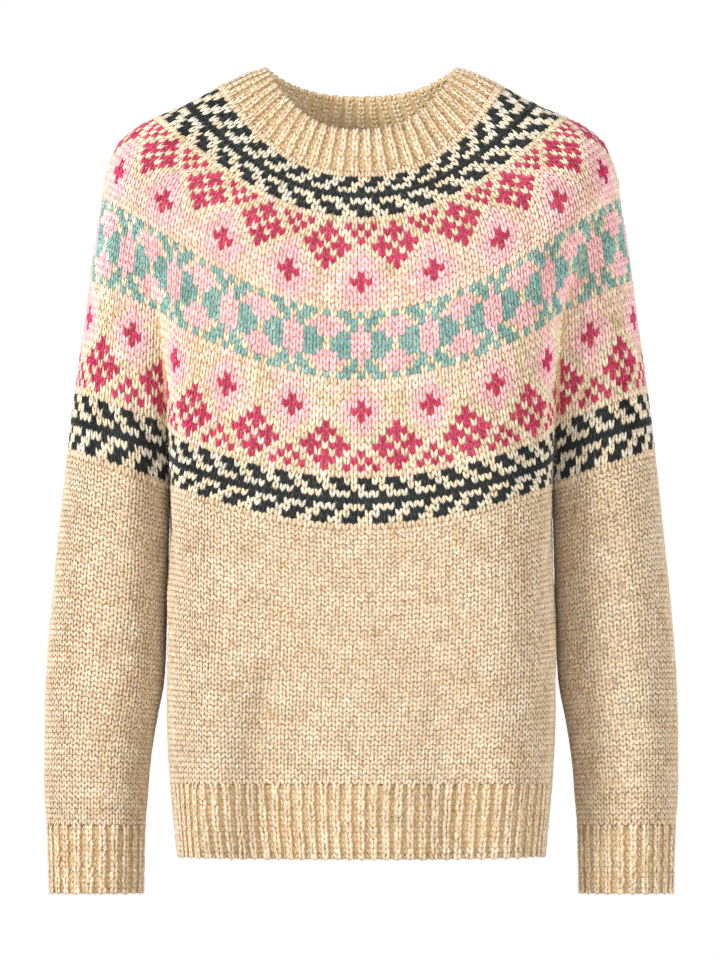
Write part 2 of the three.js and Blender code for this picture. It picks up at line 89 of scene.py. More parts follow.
# Rings of the neckband and yoke, one for each knitted row given
RING_COLUMNS = (
    "row", "side_x", "side_z", "front_y", "front_z", "back_y", "back_z", "bow", "swell", "step",
    "torso_x", "square", "arm_x", "arm_y", "web", "fold_x",
)
RINGS = (
    (-7, 76, 14, 70, -36, 66, -8, 2.6, 0, 0, 76, 2, 30, 0, 0, 50),
    (-3.5, 92, 9, 79, -53.5, 71.5, -22, 2.6, 0, 0, 92, 2, 36, 5, 0, 61),
    (0, 109, 1, 85, -70, 77, -37, 2.5, 0, 0, 109, 2, 42, 12, 0, 72),
    (4.5, 138, -15, 92, -89, 84, -60, 2.15, 0.05, 0, 138, 2, 48, 25, 0, 93),
    (9, 166, -27, 98, -111.5, 89.5, -85, 2, 0.15, 0, 165, 2.1, 50, 38, 0, 112),
    (12, 182, -36, 101.5, -128, 92.5, -103, 2, 0.25, 0, 181, 2.1, 50, 46, 0, 122),
    (15, 195, -48.5, 104.5, -144.5, 95, -120, 2, 0.3, 0, 194, 2.2, 50, 52, 0, 130),
    (19, 204.5, -74, 108, -166.5, 98.5, -143, 2, 0.35, 0, 202, 2.3, 50, 57, 0, 139),
    (22, 206.5, -91, 109.5, -182, 100, -161, 2, 0.4, 0, 194, 2.6, 49, 59, 0, 144),
    (27, 212, -123.5, 112, -209, 102, -191, 2, 0.45, 2, 176, 3.1, 48, 59, 0, 148),
    (32, 216.5, -156, 113.5, -236, 103.5, -222, 2, 0.45, 5, 164, 3.6, 47, 58, 8, 151),
    (38, 221.5, -195, 114.5, -270, 104.5, -259, 2, 0.45, 8, 158, 4, 46, 57.5, 16, 152),
    (45, 228, -240, 115, -309, 105, -304, 2, 0.45, 10, 155, 4, 44, 57, 20, 152.5),
    (50, 232, -271.5, 115, -335, 105, -333, 2, 0.45, 8, 153.4, 4, 42.6, 57, 21, 152.5),
    (54, 235, -297, 115, -356, 105, -356, 2, 0.45, 0, 152.3, 4, 41.7, 57, 21, 152.5),
)
NECK_TOP_ROW = -7.0
YOKE_ROWS = 54
WEB_X = 153.0
WEB_HALF_WIDTH = 12.0
BLEND_POWER = 7.0
STEP_HALF_WIDTH = 9.0

# Outlines of the body and of a sleeve below the yoke, one for each height
BODY_COLUMNS = ("z", "side_x", "front_y", "back_y")
BODY_SECTIONS = (
    (-300, 152.3, 115, 105),
    (-364, 152.9, 115, 105),
    (-428, 154.2, 114, 104),
    (-476, 155, 113, 103),
    (-508, 155, 112, 102),
    (-540, 153.8, 110.5, 100.5),
    (-572, 151.2, 108, 98.5),
    (-618, 146.8, 105, 96),
)
BODY_SQUARE = 4.0
SLEEVE_COLUMNS = ("z", "middle_x", "half_x", "middle_y", "half_y")
SLEEVE_SECTIONS = (
    (-290, 193.6, 40.9, 0, 57),
    (-327, 195.7, 42.9, 0, 56.5),
    (-364, 198.1, 44.3, 0, 55.5),
    (-428, 202.1, 46.6, -1, 52.5),
    (-476, 204.9, 47.3, -4, 49.5),
    (-508, 208.3, 44.8, -6, 47),
    (-540, 210.9, 42.5, -9, 44.5),
    (-572, 212, 41, -11, 43),
    (-591, 212, 39.4, -12, 41.8),
    (-646, 211.8, 38, -14, 40.5),
)
SLEEVE_SQUARE = 2.1

# Long folds in the front and back. Each is a soft crease with a slope on either side of it, and
# fades in from top_z. Widths are those of the slopes towards -X and +X. A depth under 0 is a ridge.
FOLD_COLUMNS = ("side", "top_x", "hem_x", "width_left", "width_right", "depth", "top_z")
BODY_FOLDS = (
    ("front", -112, -130, 26, 50, -14, -400),
    ("front", -64, -77, 62, 90, 24, -340),
    ("front", 46, 81, 58, 50, 15, -400),
    ("back", -70, -58, 50, 66, 10, -380),
    ("back", 72, 88, 70, 46, 12, -370),
)
FOLD_POWER = 1.5
FOLD_SOFTNESS = 0.09

# Small creases, given as shares across and down a piece from one end to the other,
# with a half width and a depth in millimetres. A depth under 0 is a ridge.
CREASE_COLUMNS = ("across_0", "down_0", "across_1", "down_1", "half_width", "depth")
CREASES = {
    "yoke": (
        (0.118, 0.98, 0.085, 0.60, 9, 2.2), (0.100, 1.00, 0.062, 0.80, 8, -1.6),
        (0.882, 0.98, 0.925, 0.66, 10, 2.4), (0.903, 1.00, 0.940, 0.84, 7, -1.4),
        (0.165, 0.95, 0.205, 0.62, 9, 2.0), (0.828, 0.97, 0.800, 0.58, 8, 2.2),
        (0.375, 0.98, 0.415, 0.64, 9, 2.3), (0.620, 0.98, 0.578, 0.60, 10, 2.1),
        (0.325, 0.96, 0.290, 0.66, 8, 2.0), (0.668, 0.96, 0.702, 0.70, 9, 1.8),
    ),
    "front": (
        (0.03, 0.02, 0.20, 0.40, 10, 2.4), (0.02, 0.22, 0.15, 0.58, 8, -1.5),
        (0.97, 0.04, 0.84, 0.34, 9, 2.2), (0.98, 0.30, 0.88, 0.72, 9, -1.4),
        (0.36, 0.55, 0.30, 1.00, 12, 1.6), (0.60, 0.42, 0.63, 0.98, 11, -1.5),
        (0.44, 0.70, 0.47, 1.00, 9, 1.4), (0.86, 0.50, 0.80, 1.00, 10, 1.7),
    ),
    "back": (
        (0.03, 0.03, 0.18, 0.36, 9, 2.3), (0.97, 0.02, 0.80, 0.44, 10, 2.4),
        (0.02, 0.34, 0.12, 0.70, 8, -1.4), (0.52, 0.50, 0.49, 1.00, 12, 1.7),
        (0.64, 0.60, 0.68, 1.00, 9, -1.4), (0.30, 0.62, 0.27, 1.00, 10, 1.5),
    ),
    "sleeve": (
        (0.06, 0.10, 0.34, 0.24, 9, 2.3), (0.98, 0.30, 0.70, 0.20, 8, 2.0),
        (0.10, 0.44, 0.42, 0.54, 10, 2.6), (0.04, 0.58, 0.30, 0.64, 8, -1.6),
        (0.14, 0.74, 0.46, 0.68, 9, 2.2), (0.95, 0.52, 0.66, 0.60, 10, 2.4),
        (0.08, 0.90, 0.38, 0.86, 8, 2.0), (0.92, 0.84, 0.62, 0.90, 9, 2.1),
    ),
}

CREASE_FADE = 0.7

# The right sleeve's creases are the left one's, mirrored, a little lower and shallower
MIRRORED_LOWER_0 = 0.05
MIRRORED_LOWER_1 = 0.03
MIRRORED_DEPTH = 0.9

# Stitches, across and down, in millimetres
PLAIN_STITCH = (5.85, 4.15)
RIB_ROW = 4.2
NECK_RIBS = 56
HEM_RIBS = 46
CUFF_RIBS = 24

# Charts, one letter for each stitch and one line for each row, from the neck down
UPPER_VINE = ("..KK", ".KK.", "K...", "KKKK", "..K.", "K..K", "KK..")
UPPER_CROSSES = (
    "X.X..X..X.",
    ".X..XXX..X",
    "X..X.X.X..",
    "b.XXX.XXX.",
    "Pb.X.X.X.b",
    "PPb.XXX.bP",
    "PPbb.X.bbP",
    "XPPb.b.bPP",
    "XXPPbbbPPX",
    "XPPbbbbbPP",
    "PPPbbbbbPP",
    "PPbb.b.bbP",
    "bbb.b.b.bb",
)
TEAL_STARS = (
    "T.TT.T.TT.",
    ".TT.PPP.TT",
    "PT.PPPPP.T",
    "PPTTPPPTTP",
    "PPTTT.TTTP",
    "PPTTT.TTTP",
    "PPTTPPPTTP",
    "PT.PPPPP.T",
    ".TT.PPP.TT",
    "T.TT.T.TT.",
)
LOWER_CROSSES = (
    "bb.b...b.b",
    "Pb.b...b.b",
    "PPb.....bP",
    "XPPb...bPP",
    "XXPb...bPX",
    "XPPb...bPP",
    "PPb..X..bP",
    "Pb..XXX..b",
    "b..X.X.X..",
    "..XXX.XXX.",
    "X..X.X.X..",
    ".X..XXX..X",
    "X.X..X..X.",
    "..........",
)
LOWER_VINE = ("KK..", ".KK.", "...K", "KKKK", ".K..", "K..K", "..KK")

# Bands of the yoke: first row, stitches round, chart
YOKE_BANDS = (
    (0, 120, ("o",)),
    (1, 136, UPPER_VINE),
    (8, 156, (".",)),
    (9, 180, UPPER_CROSSES),
    (22, 200, TEAL_STARS),
    (32, 210, LOWER_CROSSES),
    (46, 228, LOWER_VINE),
    (53, 228, ("o",)),
)
YOKE_SPLIT_ROW = 31

# Yarn for each letter of a chart. A dot is the light ground, which is spun from mixed fleece.
CHART_YARNS = {"K": "vine", "X": "crimson", "P": "pink", "T": "teal", "b": "blush", "o": "oatmeal"}
GROUND_YARNS = ("cream", "cream", "cream", "blush", "oatmeal")
VINE_GROUND_YARNS = ("cream", "ecru", "cream", "ecru")

# One leg of a stitch: the share of the way along, the share of its half width and of its height
FINE_LEG = ((0.17, 0.70, 0.80), (0.52, 1.00, 1.00), (0.84, 0.80, 0.78))
PLAIN_LEG = ((0.26, 0.90, 0.90), (0.76, 0.95, 0.92))
LEG_FOOT_HEIGHT = 0.15
LEG_TIP_HEIGHT = 0.05
LEG_JITTER = 0.045
WIDTH_SPREAD = 0.07
HEIGHT_SPREAD = 0.10
PURL_SPREAD = 0.12
TONE_SPREAD = 0.07
BAKE_MARGIN = 0.06

# Each V, in stitches and rows from its middle: foot, tip, outward bow and half width of a leg,
# then the height of a leg's edges over the surface, and of its crown over its edges
FINE_V = ((0.07, 0.72), (0.34, -0.64), 0.03, 0.30, -1.0, 1.6)
PLAIN_V = ((0.08, 0.72), (0.37, -0.64), 0.03, 0.30, -0.6, 0.85)
RIB_V = ((0.08, 0.76), (0.18, -0.68), 0.01, 0.20, -0.8, 1.3)
INNER_RIB_V = ((0.08, 0.76), (0.17, -0.68), 0.01, 0.25, 3.2, 1.3)
PURL_REACH = 0.16
PURL_SLANT = 0.50
PURL_HALF_WIDTH = 0.50
PURL_BASE = -2.9
PURL_LIFT = 1.3
RIB_POWER = 4

# Yarns, from the darkest fibres to the lightest
YARN_COLOURS = {
    "oatmeal": ((196, 164, 122), (224, 197, 158), (234, 208, 180), (232, 214, 180), (247, 232, 208)),
    # Painted light: the oatmeal yarn of the neckband's inside, painted lighter for the light that falls
    # short inside the collar
    "inner": ((246, 208, 154), (254, 226, 178), (255, 234, 194), (255, 243, 212)),
    "cream": ((220, 194, 154), (236, 216, 180), (244, 229, 202), (248, 239, 219)),
    "ecru": ((208, 196, 174), (228, 217, 196), (238, 229, 210), (244, 238, 224)),
    "blush": ((238, 190, 172), (247, 208, 192), (250, 218, 204), (252, 229, 217)),
    "pink": ((245, 172, 178), (250, 193, 197), (252, 207, 209), (253, 219, 219)),
    "crimson": ((156, 22, 64), (196, 40, 88), (212, 56, 102), (226, 96, 134)),
    "teal": ((90, 140, 136), (124, 170, 164), (150, 192, 186), (176, 208, 202)),
    "vine": ((6, 12, 14), (12, 20, 22), (22, 32, 34), (44, 54, 55)),
}
# Painted shade: the walls' outside between the stitches, a darker copy of the oatmeal yarn
GAP_COLOURS = ((168, 136, 90), (192, 162, 114), (212, 186, 140))
# Between the stitches of the vine rows: the dark vine yarn that shows there, with painted shade over it
VINE_GAP_COLOURS = ((24, 28, 27), (60, 58, 50), (150, 138, 112))
# The neckband's inside between its inner ribs: painted shade in the dips, darker than the ribs, and
# painted light, lighter than the outside's gap colours
INSIDE_COLOURS = ((216, 174, 122), (238, 202, 150), (248, 224, 182))
FLOAT_COLOURS = ((70, 74, 72), (206, 160, 148), (232, 210, 178), (240, 205, 196), (150, 180, 170))
RAMP_FROM = 0.32
RAMP_TO = 0.68
YARN_ROUGHNESS = 0.95
YARN_SHEEN = 0.2
SHEEN_ROUGHNESS = 0.6
SPECULAR = 0.15
# Painted shade on each leg: how much its colour darkens towards its edges and towards its ends, and how
# fast
EDGE_DARK = 0.10
EDGE_POWER = 2.0
END_DARK = 0.14
END_POWER = 4.0

# Noises, as scale, detail and roughness, and bumps, as strength and distance in metres
FIBRE_NOISE = (420.0, 3.0, 0.65)
DRIFT_NOISE = (45.0, 2.0, 0.5)
DRIFT_SHARE = 0.35
FUZZ_NOISE = (1500.0, 2.0, 0.7)
FUZZ_BUMP = (0.4, 0.0004)
PLY_SCALE = 1.6
PLY_DISTORTION = 3.0
PLY_DETAIL = 2.0
PLY_BUMP = (0.5, 0.0005)
GAP_BUMP = (0.4, 0.0005)
INSIDE_NOISE = (252.0, 3.0, 0.65)
INSIDE_GRAIN = (420.0, 2.0, 0.6)
INSIDE_BUMP = (0.9, 0.0012)
INSIDE_ROWS = 2.0
INSIDE_BEND = 0.2
# Painted shade on the purl side: the dips between its rows are darkest, the bumps lighter
INSIDE_DARKEST = 0.62
INSIDE_LIGHTER = 0.35
FLOOR_NOISE = (2.0, 2.0, 0.5)
FLOOR_GRAIN = (200.0, 2.0, 0.5)
FLOOR_BUMP = (0.1, 0.0005)

# Camera and light
LOOK_AT = (-0.001, 0.0, -0.316)
VIEW_HEIGHT = 0.768
CAMERA_DISTANCE = 20.0
SENSOR = 36.0
FLOOR_Z = -0.95
FLOOR_RADIUS = 3.0
FLOOR_CORNERS = 96
FLOOR_ROUGHNESS = 0.9
FLOOR_COLOURS = ((238, 238, 238), (240, 240, 240), (243, 243, 243))
SKY_STRENGTH = 0.24
SKY_COLOUR = (255, 246, 232)
SKY_FROM = 0.05
SKY_TO = 0.12

# Soft lights: name, place and size in metres, and power in watts
LIGHTS = (
    ("key", (-3.3, -2.45, 1.65), 1.2, 186.0),
    ("front", (0.8, -4.1, 0.6), 2.0, 48.0),
    ("right", (3.4, -2.2, 1.0), 2.0, 50.0),
    ("back", (1.2, 3.8, 1.2), 2.5, 90.0),
)


def table_at(columns, rows, places):
    """The columns of a table at many places along its first one, as smooth curves."""
    table = np.array(rows, float)
    last = len(table) - 1
    after = table[np.minimum(np.arange(last + 1) + 1, last)]
    before = table[np.maximum(np.arange(last + 1) - 1, 0)]
    slopes = (after - before) / (after[:, :1] - before[:, :1])
    down = 1 if table[-1, 0] > table[0, 0] else -1
    places = np.asarray(places, float)
    i = np.searchsorted(down * table[:, 0], down * places, side="right") - 1
    i = np.clip(i, 0, last - 1)
    span = (table[i + 1, 0] - table[i, 0])[..., None]
    t = np.clip((places - table[i, 0])[..., None] / span, 0, 1)
    curve = (2 * t**3 - 3 * t**2 + 1) * table[i] + (t**3 - 2 * t**2 + t) * span * slopes[i]
    curve += (3 * t**2 - 2 * t**3) * table[i + 1] + (t**3 - t**2) * span * slopes[i + 1]
    return {name: curve[..., k] for k, name in enumerate(columns)}


def smoothstep(x, low, high):
    """0 below low and 1 above high, with a smooth step between."""
    t = np.clip((x - low) / (high - low), 0, 1)
    return t * t * (3 - 2 * t)


def oval(x, middle, half_width, square):
    """The height of a squared oval at x, as a share of its half height."""
    share = np.minimum(np.abs(x - middle) / half_width, 1)
    return (1 - share**square) ** (1 / square)


def ring_height(ring, x, end_z):
    """The height of the front or back half of a ring, from end_z at its middle to the side."""
    share = np.minimum(x / ring["side_x"], 1)
    rise = share ** ring["bow"] * (1 + ring["swell"] * (1 - share * share))
    in_fold = smoothstep(x, ring["fold_x"] - STEP_HALF_WIDTH, ring["fold_x"] + STEP_HALF_WIDTH)
    return end_z + (ring["side_z"] - end_z - ring["step"]) * rise + ring["step"] * in_fold


def ring_depth(ring, x, reach_y):
    """How far a ring lies from the middle plane, over the torso, an arm and the web between."""
    torso = reach_y * oval(x, 0, ring["torso_x"], ring["square"])
    arm = ring["arm_y"] * oval(x, ring["side_x"] - ring["arm_x"], ring["arm_x"], 2)
    web = ring["web"] * oval(x, WEB_X, WEB_HALF_WIDTH, 2)
    return (torso**BLEND_POWER + arm**BLEND_POWER + web**BLEND_POWER) ** (1 / BLEND_POWER)


def evenly(line, steps):
    """Points spaced evenly along a line of points, its ends included."""
    lengths = np.concatenate([[0], np.cumsum(np.linalg.norm(np.diff(line, axis=0), axis=1))])
    wanted = np.linspace(0, lengths[-1], steps + 1)
    return np.stack([np.interp(wanted, lengths, line[:, k]) for k in range(3)], axis=1)


def ring_lines(rows, steps):
    """Closed rings from the middle of the front, by +X, back to it, spaced evenly all round."""
    lines = []
    angles = np.linspace(0, math.pi / 2, RING_POINTS)
    for row in rows:
        ring = table_at(RING_COLUMNS, RINGS, row)
        x = ring["side_x"] * np.sin(angles)
        front = np.stack([x, -ring_depth(ring, x, ring["front_y"]),
                          ring_height(ring, x, ring["front_z"])], axis=1)
        back = np.stack([x, ring_depth(ring, x, ring["back_y"]),
                         ring_height(ring, x, ring["back_z"])], axis=1)
        half = evenly(np.concatenate([front, back[-2::-1]]), steps // 2)
        mirrored = half[-2::-1] * (-1, 1, 1)
        lines.append(np.concatenate([half, mirrored]))
    return np.array(lines)


BOTTOM_RING = table_at(RING_COLUMNS, RINGS, YOKE_ROWS)


def seam_height(x):
    """The height of the seam between the yoke and what hangs from it."""
    return ring_height(BOTTOM_RING, np.abs(x), BOTTOM_RING["front_z"])


def height_below(bottom_z, share):
    """A share of the way from the yoke's seam down to a height, for each x."""
    return lambda x: seam_height(x) + (bottom_z - seam_height(x)) * share


def fold_depth(side, x, z):
    """How far the folds push the cloth in at a point."""
    depth = np.zeros_like(x)
    for row in BODY_FOLDS:
        fold = dict(zip(FOLD_COLUMNS, row))
        if fold["side"] != side:
            continue
        down = np.clip((fold["top_z"] - z) / (fold["top_z"] - HEM_Z), 0, 1)
        off = x - fold["top_x"] - (fold["hem_x"] - fold["top_x"]) * down
        share = np.abs(off) / np.where(off < 0, fold["width_left"], fold["width_right"])
        near = np.maximum(0, 1 - np.hypot(share, FOLD_SOFTNESS))
        depth += fold["depth"] * near**FOLD_POWER * np.sin(down * math.pi / 2)
    return depth


def rounded(value, square):
    """A sine or cosine turned into that of a squared oval."""
    return np.sign(value) * np.abs(value) ** (2 / square)


def panel_lines(side, heights, steps):
    """Lines across the front or back, from one side seam to the other."""
    turn = -1 if side == "front" else 1
    angles = np.linspace(0, math.pi, PANEL_POINTS)
    share_x = rounded(turn * np.cos(angles), BODY_SQUARE)
    share_y = rounded(np.abs(np.sin(angles)), BODY_SQUARE)
    lines = []
    for height in heights:
        section = table_at(BODY_COLUMNS, BODY_SECTIONS, np.full_like(angles, SEAM_Z))
        for _ in range(SETTLE_STEPS):
            x = section["side_x"] * share_x
            z = height(x)
            section = table_at(BODY_COLUMNS, BODY_SECTIONS, z)
        reach = section[side + "_y"] * share_y
        y = np.maximum(reach - fold_depth(side, x, z), SEAM_GAP / 2)
        lines.append(evenly(np.stack([x, turn * y, z], axis=1), steps))
    return np.array(lines)


def sleeve_lines(heights, steps, side):
    """Closed lines round a sleeve from its inner side, anticlockwise seen from above."""
    angles = np.linspace(0, TAU, SLEEVE_POINTS)
    share_x = rounded(-np.cos(angles), SLEEVE_SQUARE)
    share_y = rounded(-np.sin(angles), SLEEVE_SQUARE)
    lines = []
    for height in heights:
        section = table_at(SLEEVE_COLUMNS, SLEEVE_SECTIONS, np.full_like(angles, SEAM_Z))
        for _ in range(SETTLE_STEPS):
            x = section["middle_x"] + section["half_x"] * share_x
            z = height(x)
            section = table_at(SLEEVE_COLUMNS, SLEEVE_SECTIONS, z)
        y = section["middle_y"] + section["half_y"] * share_y
        lines.append(evenly(np.stack([x, y, z], axis=1), steps))
    lines = np.array(lines)
    return lines if side > 0 else lines[:, ::-1] * (-1, 1, 1)


class Patch:
    """A surface as a fine grid of points, looked up by shares of the way down and across."""

    def __init__(self, grid, closed, creases=()):
        self.closed = closed
        self.grid = grid
        self.out = self.directions(grid)
        if creases:
            self.grid = grid - self.out * self.crease_depth(creases)[..., None]
            self.out = self.directions(self.grid)

    def directions(self, grid):
        """Directions out of the cloth."""
        down = np.gradient(grid, axis=0)
        if self.closed:
            ring = grid[:, :-1]
            along = np.roll(ring, -1, axis=1) - np.roll(ring, 1, axis=1)
            along = np.concatenate([along, along[:, :1]], axis=1)
        else:
            along = np.gradient(grid, axis=1)
        out = np.cross(down, along)
        return out / np.maximum(np.linalg.norm(out, axis=2, keepdims=True), 1e-9)

    def size(self):
        """The mean length down and across, in the grid's unit."""
        down = np.linalg.norm(np.diff(self.grid, axis=0), axis=2).sum(axis=0).mean()
        across = np.linalg.norm(np.diff(self.grid, axis=1), axis=2).sum(axis=1).mean()
        return down, across

    def crease_depth(self, creases):
        """How far the small creases push each point of the grid in."""
        rows, columns = self.grid.shape[:2]
        length, width = self.size()
        down, across = np.meshgrid(
            np.linspace(0, 1, rows) * length, np.linspace(0, 1, columns) * width, indexing="ij"
        )
        depth = np.zeros((rows, columns))
        for crease in creases:
            c = dict(zip(CREASE_COLUMNS, crease))
            start = np.array([c["down_0"] * length, c["across_0"] * width])
            run = np.array([c["down_1"] * length, c["across_1"] * width]) - start
            t = ((down - start[0]) * run[0] + (across - start[1]) * run[1]) / (run @ run)
            off = np.hypot(down - start[0] - t * run[0], across - start[1] - t * run[1])
            along = np.sin(math.pi * np.clip(t, 0, 1)) ** CREASE_FADE
            depth += c["depth"] * along * np.exp(-((off / c["half_width"]) ** 2))
        return depth

    def at(self, down, across):
        """Points and outward directions at shares down and across, a little past the ends too."""
        rows, columns = self.grid.shape[0] - 1, self.grid.shape[1] - 1
        across = across % 1 if self.closed else np.clip(across, 0, 1)
        r = down * rows
        c = across * columns
        i = np.clip(r.astype(int), 0, rows - 1)
        j = np.minimum(c.astype(int), columns - 1)
        u = (r - i)[..., None]
        v = (c - j)[..., None]
        found = []
        for field in (self.grid, self.out):
            top = field[i, j] * (1 - v) + field[i, j + 1] * v
            bottom = field[i + 1, j] * (1 - v) + field[i + 1, j + 1] * v
            found.append(top * (1 - u) + bottom * u)
        return found


def linear(colour):
    """A colour of three numbers from 0 to 255, as a shader takes it."""
    shares = np.array(colour) / 255
    low = shares / 12.92
    high = ((shares + 0.055) / 1.055) ** 2.4
    return (*np.where(shares <= 0.04045, low, high), 1.0)


class Shader:
    """Short ways to add and join the nodes of a material."""

    def __init__(self, name, base, roughness, sheen):
        self.material = bpy.data.materials.new(name)
        self.material.use_nodes = True
        self.nodes = self.material.node_tree.nodes
        self.links = self.material.node_tree.links
        self.surface = self.nodes["Principled BSDF"]
        self.surface.inputs["Base Color"].default_value = base
        self.surface.inputs["Roughness"].default_value = roughness
        self.surface.inputs["Specular IOR Level"].default_value = SPECULAR
        self.surface.inputs["Sheen Weight"].default_value = sheen
        self.surface.inputs["Sheen Roughness"].default_value = SHEEN_ROUGHNESS
        self.material.diffuse_color = base

    def add(self, kind, inputs=(), **settings):
        node = self.nodes.new(kind)
        for key, value in settings.items():
            setattr(node, key, value)
        for key, value in inputs:
            self.plug(node.inputs[key], value)
        return node

    def plug(self, socket, value):
        if isinstance(value, bpy.types.NodeSocket):
            self.links.new(value, socket)
        else:
            socket.default_value = value

    def maths(self, operation, first, second=0.0):
        node = self.add("ShaderNodeMath", ((0, first), (1, second)), operation=operation)
        return node.outputs[0]

    def noise(self, scale, detail, roughness, vector=None):
        if vector is None:
            vector = self.add("ShaderNodeTexCoord").outputs["Object"]
        inputs = (("Vector", vector), ("Scale", scale), ("Detail", detail), ("Roughness", roughness))
        return self.add("ShaderNodeTexNoise", inputs).outputs["Fac"]

    def ramp(self, share, colours):
        """Colours spread evenly over the middle of a noise's range."""
        ramp = self.add("ShaderNodeValToRGB", (("Fac", share),))
        stops = ramp.color_ramp.elements
        places = np.linspace(RAMP_FROM, RAMP_TO, len(colours))
        while len(stops) < len(colours):
            stops.new(0.5)
        for stop, place, colour in zip(stops, places, colours):
            stop.position = place
            stop.color = linear(colour)
        return ramp.outputs["Color"]

    def darken(self, colour, share):
        """A colour whose value is multiplied by a share."""
        inputs = (("Color", colour), ("Value", share))
        return self.add("ShaderNodeHueSaturation", inputs).outputs["Color"]

    def bump(self, height, strength, distance, normal=None):
        inputs = [("Height", height), ("Strength", strength), ("Distance", distance)]
        if normal is not None:
            inputs.append(("Normal", normal))
        return self.add("ShaderNodeBump", inputs).outputs["Normal"]

    def finish(self, colour, normal):
        self.links.new(colour, self.surface.inputs["Base Color"])
        self.links.new(normal, self.surface.inputs["Normal"])
        return self.material


def yarn_material(name, colours):
    """Spun yarn: mixed fibres in a heather and two twisted plies, with painted shade towards the edges
    and ends of each leg.
    """
    shader = Shader(name, linear(colours[len(colours) // 2]), YARN_ROUGHNESS, YARN_SHEEN)
    fibres = shader.noise(*FIBRE_NOISE)
    drift = shader.noise(*DRIFT_NOISE)
    drift = shader.maths("MULTIPLY", shader.maths("SUBTRACT", drift, 0.5), DRIFT_SHARE)
    colour = shader.ramp(shader.maths("ADD", fibres, drift), colours)
    ply = shader.add("ShaderNodeUVMap", uv_map="ply").outputs["UV"]
    split = shader.add("ShaderNodeSeparateXYZ", (("Vector", ply),))
    across = shader.maths("ABSOLUTE", shader.maths("SUBTRACT", split.outputs["X"], 0.5))
    along = shader.maths("ABSOLUTE", shader.maths("SUBTRACT", split.outputs["Y"], 0.5))
    # Painted shade: each leg darker towards its edges and its ends, where it meets the next
    edge_shade = shader.maths("POWER", across, EDGE_POWER)
    edge_shade = shader.maths("MULTIPLY", edge_shade, EDGE_DARK * 2**EDGE_POWER)
    ends = shader.maths("POWER", along, END_POWER)
    ends = shader.maths("MULTIPLY", ends, END_DARK * 2**END_POWER)
    light = shader.maths("SUBTRACT", shader.maths("SUBTRACT", 1.0, edge_shade), ends)
    tone = shader.add("ShaderNodeAttribute", attribute_name="tone").outputs["Fac"]
    colour = shader.darken(colour, shader.maths("MULTIPLY", light, tone))
    wave = shader.add(
        "ShaderNodeTexWave",
        (("Vector", ply), ("Scale", PLY_SCALE), ("Distortion", PLY_DISTORTION), ("Detail", PLY_DETAIL)),
        bands_direction="DIAGONAL",
    ).outputs["Fac"]
    normal = shader.bump(wave, *PLY_BUMP)
    return shader.finish(colour, shader.bump(shader.noise(*FUZZ_NOISE), *FUZZ_BUMP, normal))


def gap_material(name, colours):
    """Yarn seen between the stitches, its colours painted darker for the shade that falls there."""
    shader = Shader(name, linear(colours[1]), YARN_ROUGHNESS, 0.0)
    colour = shader.ramp(shader.noise(*FIBRE_NOISE), colours)
    return shader.finish(colour, shader.bump(shader.noise(*FUZZ_NOISE), *GAP_BUMP))


def purl_material(name, colours):
    """The inside of the knitting: rows of small bumps, with painted shade in the dips between them."""
    shader = Shader(name, linear(colours[1]), YARN_ROUGHNESS, YARN_SHEEN)
    colour = shader.ramp(shader.noise(*INSIDE_NOISE), colours)
    knit = shader.add("ShaderNodeUVMap", uv_map="knit").outputs["UV"]
    split = shader.add("ShaderNodeSeparateXYZ", (("Vector", knit),))
    wave_x = shader.maths("COSINE", shader.maths("MULTIPLY", split.outputs["X"], TAU))
    bend = shader.maths("MULTIPLY", wave_x, INSIDE_BEND)
    row = shader.maths("ADD", shader.maths("MULTIPLY", split.outputs["Y"], INSIDE_ROWS), bend)
    ridge = shader.maths("ABSOLUTE", shader.maths("SINE", shader.maths("MULTIPLY", row, math.pi)))
    grain = shader.noise(*INSIDE_GRAIN)
    height = shader.maths("MULTIPLY", ridge, shader.maths("ADD", grain, 0.5))
    # Painted shade: the colour is darkened in the dips between the rows of bumps
    light = shader.maths("ADD", shader.maths("MULTIPLY", ridge, INSIDE_LIGHTER), INSIDE_DARKEST)
    normal = shader.bump(height, *INSIDE_BUMP)
    return shader.finish(shader.darken(colour, light), normal)


YARNS = {name: yarn_material(name + "_yarn", colours) for name, colours in YARN_COLOURS.items()}
# The walls' outsides and the neckband's inside, painted with the shade between the stitches
GAP = gap_material("shaded_yarn", GAP_COLOURS)
VINE_GAP = gap_material("shaded_vine_yarn", VINE_GAP_COLOURS)
NECK_INSIDE = gap_material("inside_yarn", INSIDE_COLOURS)
PURL = purl_material("purl_side", YARN_COLOURS["oatmeal"])
FLOATS = purl_material("purl_side_with_floats", FLOAT_COLOURS)

# The yoke with the neckband, the two panels and the sleeves, each as one surface
NECK = Patch(ring_lines(np.linspace(NECK_TOP_ROW, 0, NECK_LINES), RING_STEPS), True)
YOKE = Patch(ring_lines(np.linspace(0, YOKE_ROWS, YOKE_LINES), RING_STEPS), True, CREASES["yoke"])


def body_patch(side):
    heights = [height_below(PANEL_BOTTOM_Z, share) for share in np.linspace(0, 1, PANEL_LINES)]
    return Patch(panel_lines(side, heights, PANEL_STEPS), False, CREASES[side])


def hem_height(share):
    """A share of the way down the hem rib, whose corners curl up a little, for each x."""
    side_x = BODY_SECTIONS[0][1]

    def height(x):
        hem = HEM_Z + HEM_CORNER_LIFT * (x / side_x) ** HEM_CORNER_POWER
        return PANEL_BOTTOM_Z + (hem - PANEL_BOTTOM_Z) * share

    return height


def hem_patch(side):
    heights = [hem_height(share) for share in np.linspace(0, 1, HEM_LINES)]
    return Patch(panel_lines(side, heights, PANEL_STEPS), False)


